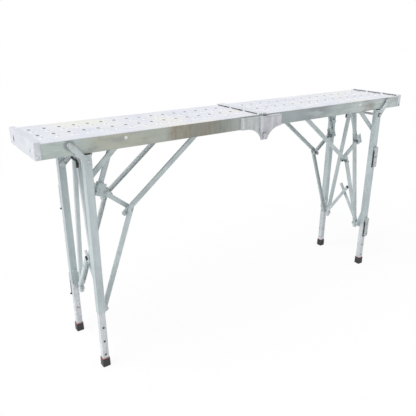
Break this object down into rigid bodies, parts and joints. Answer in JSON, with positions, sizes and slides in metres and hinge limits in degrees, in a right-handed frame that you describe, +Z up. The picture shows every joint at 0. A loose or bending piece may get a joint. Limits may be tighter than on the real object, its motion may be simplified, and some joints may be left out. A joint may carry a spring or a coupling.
{
  "type": "folding scaffold platform",
  "caption": "Low folding work platform: a perforated steel deck hinged in the middle, on fold-away braced legs with sliding height-adjustable feet and spring latches.",
  "frame": {"origin": "on the floor under the middle of the deck", "axes": "+X along the deck towards the right end in the picture, +Y to the rear, +Z up"},
  "size_m": [1.9, 0.3512, 0.94],
  "materials": {
    "tread_sheet": "bright galvanised sheet",
    "rail": "galvanised, spangled, lightly stained",
    "leg_tube": "galvanised tube",
    "inner_leg_tube": "bright galvanised tube",
    "link": "galvanised pressed bar",
    "pin": "zinc plated pins and rivets",
    "latch": "zinc plated spring latch",
    "foot": "black moulded rubber"
  },
  "bodies": {
    "left_deck": {"left_deck_sheet": "tread_sheet", "left_front_rail": "rail", "left_rear_rail": "rail", "left_end_cap": "rail", "left_seam_rail": "rail", "left_knee_bearer": "rail", "left_stay_bearer": "rail", "left_deck_pins": "pin", "left_rivets": "pin", "left_front_hinge_plate": "rail", "left_rear_hinge_plate": "rail", "hinge_bolts": "pin"},
    "right_deck": {"right_deck_sheet": "tread_sheet", "right_front_rail": "rail", "right_rear_rail": "rail", "right_end_cap": "rail", "right_seam_rail": "rail", "right_knee_bearer": "rail", "right_stay_bearer": "rail", "right_deck_pins": "pin", "right_rivets": "pin", "right_front_hinge_plate": "rail", "right_rear_hinge_plate": "rail"},
    "left_straps": {"left_straps": "link"},
    "left_leg_frame": {"left_front_leg": "leg_tube", "left_rear_leg": "leg_tube", "left_leg_pins": "pin", "left_long_braces": "leg_tube", "left_cross_brace": "link", "left_latch_housings": "latch"},
    "left_front_inner_leg": {"left_front_inner_leg": "inner_leg_tube", "left_front_foot": "foot"},
    "left_rear_inner_leg": {"left_rear_inner_leg": "inner_leg_tube", "left_rear_foot": "foot"},
    "left_knees": {"left_knees": "link"},
    "left_upper_stays": {"left_upper_stays": "link"},
    "left_lower_stays": {"left_lower_stays": "link"},
    "left_lock_links": {"left_lock_links": "link"},
    "left_drop_bars": {"left_drop_bars": "link"},
    "left_upper_latch": {"left_upper_latch": "latch"},
    "left_lower_latch": {"left_lower_latch": "latch"},
    "right_straps": {"right_straps": "link"},
    "right_leg_frame": {"right_front_leg": "leg_tube", "right_rear_leg": "leg_tube", "right_leg_pins": "pin", "right_long_braces": "leg_tube", "right_cross_brace": "link", "right_latch_housings": "latch"},
    "right_front_inner_leg": {"right_front_inner_leg": "inner_leg_tube", "right_front_foot": "foot"},
    "right_rear_inner_leg": {"right_rear_inner_leg": "inner_leg_tube", "right_rear_foot": "foot"},
    "right_knees": {"right_knees": "link"},
    "right_upper_stays": {"right_upper_stays": "link"},
    "right_lower_stays": {"right_lower_stays": "link"},
    "right_lock_links": {"right_lock_links": "link"},
    "right_drop_bars": {"right_drop_bars": "link"},
    "right_upper_latch": {"right_upper_latch": "latch"},
    "right_lower_latch": {"right_lower_latch": "latch"}
  },
  "joints": [
    {"name": "deck_fold", "type": "hinge", "parent": "left_deck", "child": "right_deck", "pos_m": [0, 0, 0.8498], "axis": [0, 1, 0], "range_deg": [0, 80]},
    {"name": "left_strap_swing", "type": "hinge", "parent": "left_deck", "child": "left_straps", "pos_m": [-0.836, 0, 0.917], "axis": [0, 1, 0], "range_deg": [0, 88.93]},
    {"name": "left_leg_fold", "type": "hinge", "parent": "left_straps", "child": "left_leg_frame", "pos_m": [-0.779, 0, 0.852], "axis": [0, -1, 0], "range_deg": [0, 179.13]},
    {"name": "left_knee_swing", "type": "hinge", "parent": "left_deck", "child": "left_knees", "pos_m": [-0.648, 0, 0.896], "axis": [0, 1, 0], "range_deg": [0, 30.97]},
    {"name": "left_upper_stay_swing", "type": "hinge", "parent": "left_deck", "child": "left_upper_stays", "pos_m": [-0.27739, 0, 0.902], "axis": [0, 1, 0], "range_deg": [0, 38.89]},
    {"name": "left_lower_stay_swing", "type": "hinge", "parent": "left_leg_frame", "child": "left_lower_stays", "pos_m": [-0.752, 0, 0.246], "axis": [0, -1, 0], "range_deg": [0, 17.79]},
    {"name": "left_lock_link_swing", "type": "hinge", "parent": "left_upper_stays", "child": "left_lock_links", "pos_m": [-0.612, 0, 0.634], "axis": [0, -1, 0], "range_deg": [0, 77.89]},
    {"name": "left_drop_bar_swing", "type": "hinge", "parent": "left_deck", "child": "left_drop_bars", "pos_m": [-0.65, 0, 0.902], "axis": [0, 1, 0], "range_deg": [0, 69.31]},
    {"name": "left_front_leg_height", "type": "slide", "parent": "left_leg_frame", "child": "left_front_inner_leg", "axis": [0, 0, 1], "range_m": [0, 0.1]},
    {"name": "left_rear_leg_height", "type": "slide", "parent": "left_leg_frame", "child": "left_rear_inner_leg", "axis": [0, 0, 1], "range_m": [0, 0.1]},
    {"name": "left_upper_latch_pull", "type": "hinge", "parent": "left_leg_frame", "child": "left_upper_latch", "pos_m": [-0.779, 0.166, 0.682], "axis": [1, 0, 0], "range_deg": [0, 10], "stiffness_Nm_per_rad": 0.8, "springref_deg": -11.46},
    {"name": "left_lower_latch_pull", "type": "hinge", "parent": "left_leg_frame", "child": "left_lower_latch", "pos_m": [-0.779, 0.166, 0.28], "axis": [1, 0, 0], "range_deg": [0, 10], "stiffness_Nm_per_rad": 0.8, "springref_deg": -11.46},
    {"name": "right_strap_swing", "type": "hinge", "parent": "right_deck", "child": "right_straps", "pos_m": [0.836, 0, 0.917], "axis": [0, -1, 0], "range_deg": [0, 88.93]},
    {"name": "right_leg_fold", "type": "hinge", "parent": "right_straps", "child": "right_leg_frame", "pos_m": [0.779, 0, 0.852], "axis": [0, 1, 0], "range_deg": [0, 179.13]},
    {"name": "right_knee_swing", "type": "hinge", "parent": "right_deck", "child": "right_knees", "pos_m": [0.648, 0, 0.896], "axis": [0, -1, 0], "range_deg": [0, 30.97]},
    {"name": "right_upper_stay_swing", "type": "hinge", "parent": "right_deck", "child": "right_upper_stays", "pos_m": [0.27739, 0, 0.902], "axis": [0, -1, 0], "range_deg": [0, 38.89]},
    {"name": "right_lower_stay_swing", "type": "hinge", "parent": "right_leg_frame", "child": "right_lower_stays", "pos_m": [0.752, 0, 0.246], "axis": [0, 1, 0], "range_deg": [0, 17.79]},
    {"name": "right_lock_link_swing", "type": "hinge", "parent": "right_upper_stays", "child": "right_lock_links", "pos_m": [0.612, 0, 0.634], "axis": [0, 1, 0], "range_deg": [0, 77.89]},
    {"name": "right_drop_bar_swing", "type": "hinge", "parent": "right_deck", "child": "right_drop_bars", "pos_m": [0.65, 0, 0.902], "axis": [0, -1, 0], "range_deg": [0, 69.31]},
    {"name": "right_front_leg_height", "type": "slide", "parent": "right_leg_frame", "child": "right_front_inner_leg", "axis": [0, 0, 1], "range_m": [0, 0.1]},
    {"name": "right_rear_leg_height", "type": "slide", "parent": "right_leg_frame", "child": "right_rear_inner_leg", "axis": [0, 0, 1], "range_m": [0, 0.1]},
    {"name": "right_upper_latch_pull", "type": "hinge", "parent": "right_leg_frame", "child": "right_upper_latch", "pos_m": [0.779, -0.166, 0.682], "axis": [-1, 0, 0], "range_deg": [0, 10], "stiffness_Nm_per_rad": 0.8, "springref_deg": -11.46},
    {"name": "right_lower_latch_pull", "type": "hinge", "parent": "right_leg_frame", "child": "right_lower_latch", "pos_m": [0.779, -0.166, 0.28], "axis": [-1, 0, 0], "range_deg": [0, 10], "stiffness_Nm_per_rad": 0.8, "springref_deg": -11.46}
  ],
  "couplings": [
    {"joint": "left_leg_fold", "follows": "left_strap_swing", "ratio": 2.012},
    {"joint": "left_knee_swing", "follows": "left_strap_swing", "ratio": 0.34603},
    {"joint": "left_upper_stay_swing", "follows": "left_strap_swing", "ratio": 0.43507},
    {"joint": "left_lower_stay_swing", "follows": "left_strap_swing", "ratio": 0.19779},
    {"joint": "left_lock_link_swing", "follows": "left_strap_swing", "ratio": 0.8736},
    {"joint": "left_drop_bar_swing", "follows": "left_strap_swing", "ratio": 0.77715},
    {"joint": "right_leg_fold", "follows": "right_strap_swing", "ratio": 2.012},
    {"joint": "right_knee_swing", "follows": "right_strap_swing", "ratio": 0.34603},
    {"joint": "right_upper_stay_swing", "follows": "right_strap_swing", "ratio": 0.43507},
    {"joint": "right_lower_stay_swing", "follows": "right_strap_swing", "ratio": 0.19779},
    {"joint": "right_lock_link_swing", "follows": "right_strap_swing", "ratio": 0.8736},
    {"joint": "right_drop_bar_swing", "follows": "right_strap_swing", "ratio": 0.77715}
  ]
}
